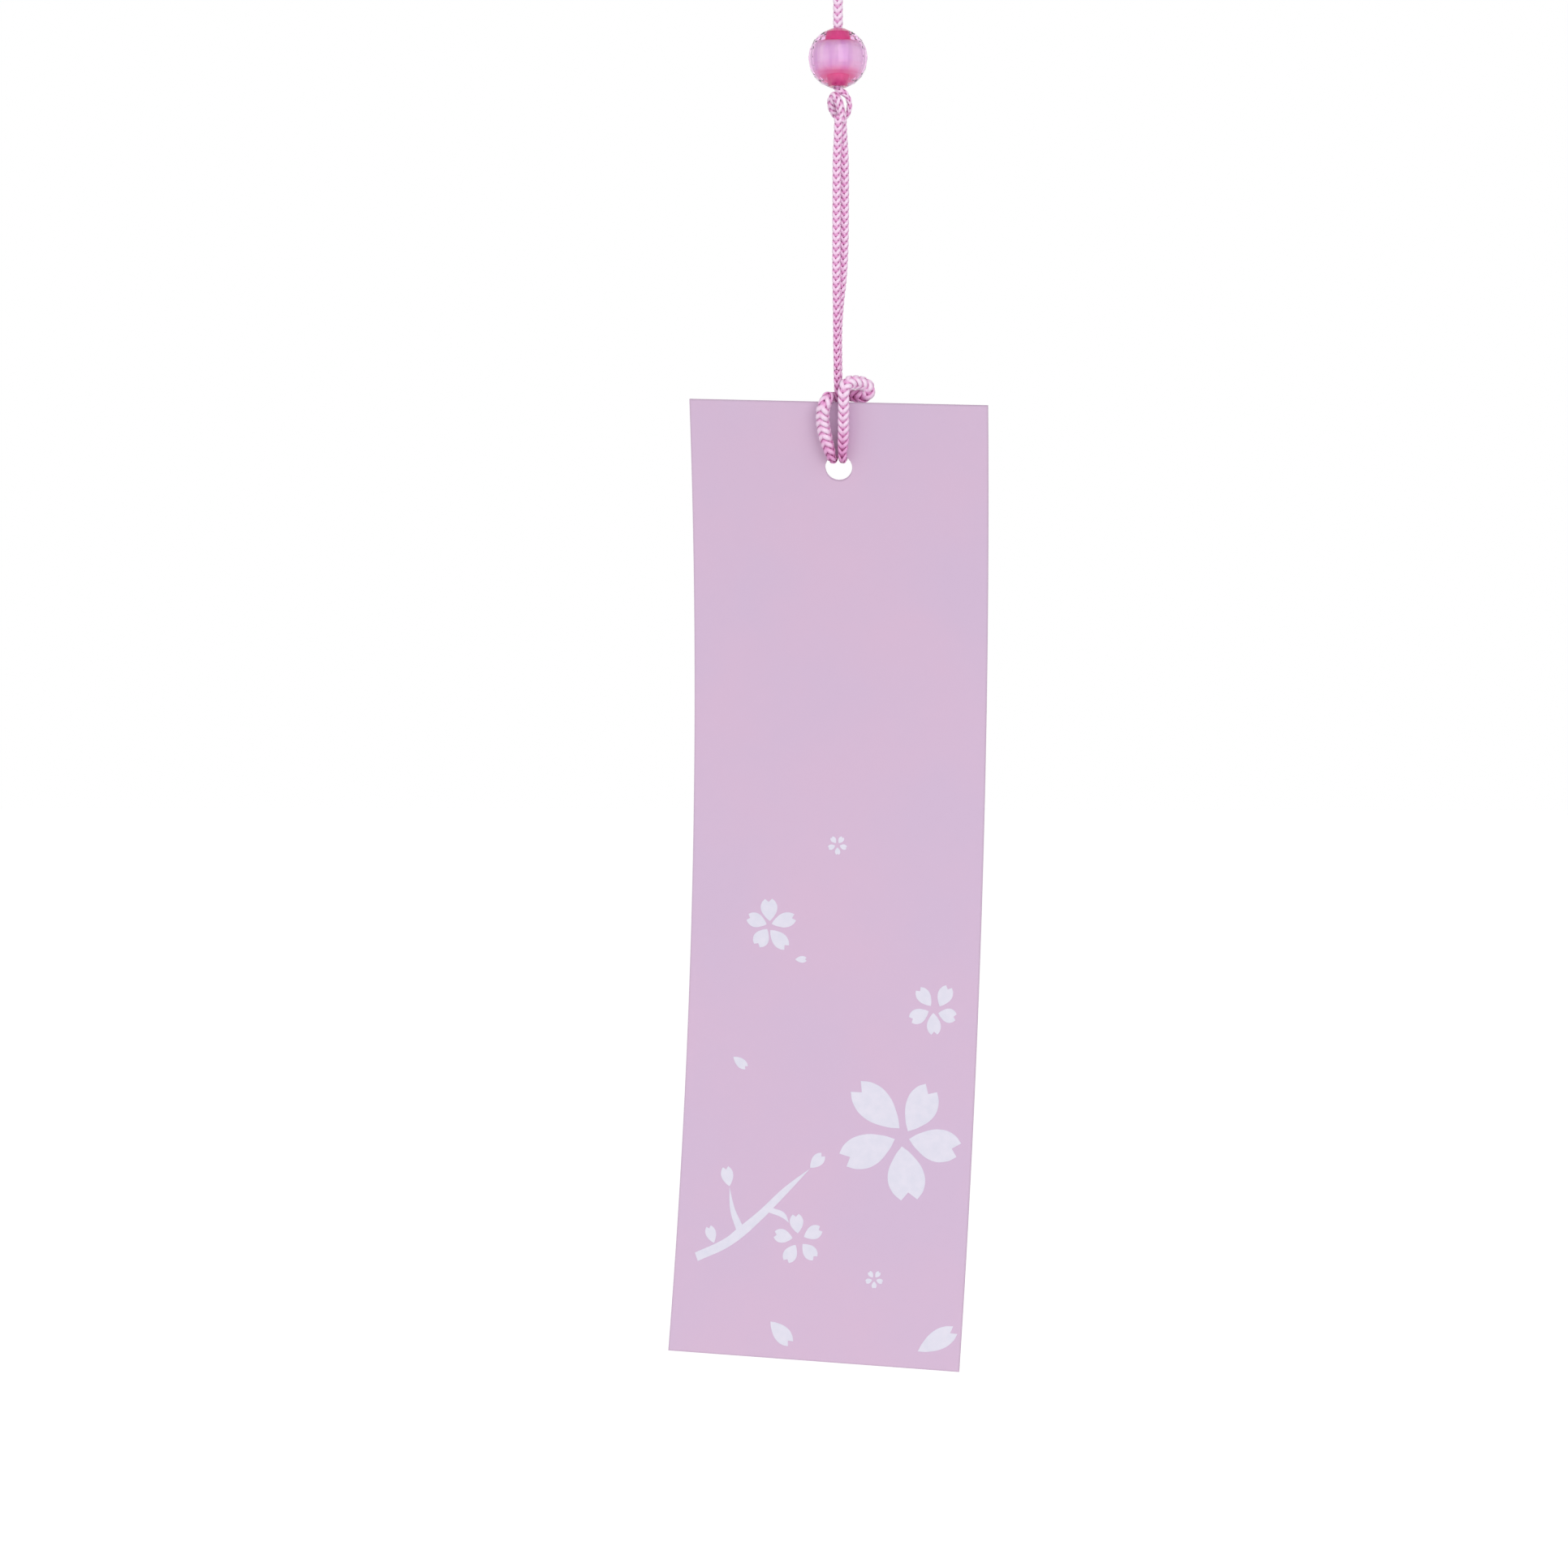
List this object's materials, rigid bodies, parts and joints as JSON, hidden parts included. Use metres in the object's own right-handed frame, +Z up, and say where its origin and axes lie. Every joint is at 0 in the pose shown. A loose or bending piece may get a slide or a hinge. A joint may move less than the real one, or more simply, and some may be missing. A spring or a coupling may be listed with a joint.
{
  "type": "wind bell",
  "caption": "Hanging glass wind bell: a dome on a braided cord with a tube clapper, faceted beads and a long printed paper strip that catches the wind and rings it.",
  "frame": {"origin": "the inside top of the hanging loop, where it rests on its hook", "axes": "+Z up along the hanging cord, +X to the right of the printed face, -Y out of the printed face"},
  "size_m": [0.08, 0.08, 0.4063],
  "materials": {
    "cord": "braided, pale pink",
    "bead_shell": "clear pink acrylic, faceted",
    "bead_core": "pearl white",
    "stop_bead": "plain turned",
    "glass": "clear blown glass",
    "paper": "matte lilac card with white print"
  },
  "bodies": {
    "hanger": {"hanging_loop": "cord", "loop_knot": "cord"},
    "suspension": {"crown_cord": "cord", "stop_bead": "stop_bead", "crown_knot": "cord"},
    "top_bead": {"top_bead_shell": "bead_shell", "top_bead_core": "bead_core"},
    "bell": {"glass_bell": "glass"},
    "clapper": {"clapper_cord": "cord", "clapper_tube": "glass", "clapper_knot": "cord"},
    "tail": {"tail_cord": "cord", "bead_knot": "cord"},
    "tail_bead": {"tail_bead_shell": "bead_shell", "tail_bead_core": "bead_core"},
    "strip_line": {"strip_cord_left": "cord", "strip_cord_right": "cord"},
    "strip": {"strip_hitch": "cord", "paper_strip": "paper"}
  },
  "joints": [
    {"name": "bell_swing", "type": "hinge", "parent": "hanger", "child": "suspension", "pos_m": [0, 0, -0.0665], "axis": [1, 0, 0], "range_deg": [-25, 25]},
    {"name": "top_bead_turn", "type": "hinge", "parent": "suspension", "child": "top_bead", "pos_m": [0, 0, -0.07521], "axis": [0, 0, 1], "continuous": true},
    {"name": "bell_turn", "type": "hinge", "parent": "suspension", "child": "bell", "pos_m": [0, 0, -0.12007], "axis": [0, 0, 1], "continuous": true},
    {"name": "clapper_swing", "type": "hinge", "parent": "suspension", "child": "clapper", "pos_m": [0, 0, -0.09571], "axis": [1, 0, 0], "range_deg": [-28, 28]},
    {"name": "tail_swing", "type": "hinge", "parent": "clapper", "child": "tail", "pos_m": [0, 0, -0.16057], "axis": [0, 1, 0], "range_deg": [-40, 40]},
    {"name": "bead_lift", "type": "slide", "parent": "tail", "child": "tail_bead", "axis": [0, 0, 1], "range_m": [0, 0.015]},
    {"name": "strip_swing", "type": "hinge", "parent": "tail", "child": "strip_line", "pos_m": [0, 0, -0.19792], "axis": [1, 0, 0], "range_deg": [-60, 60]},
    {"name": "strip_twist", "type": "hinge", "parent": "strip_line", "child": "strip", "pos_m": [0, 0, -0.23802], "axis": [0, 0, 1], "range_deg": [-180, 180]}
  ]
}
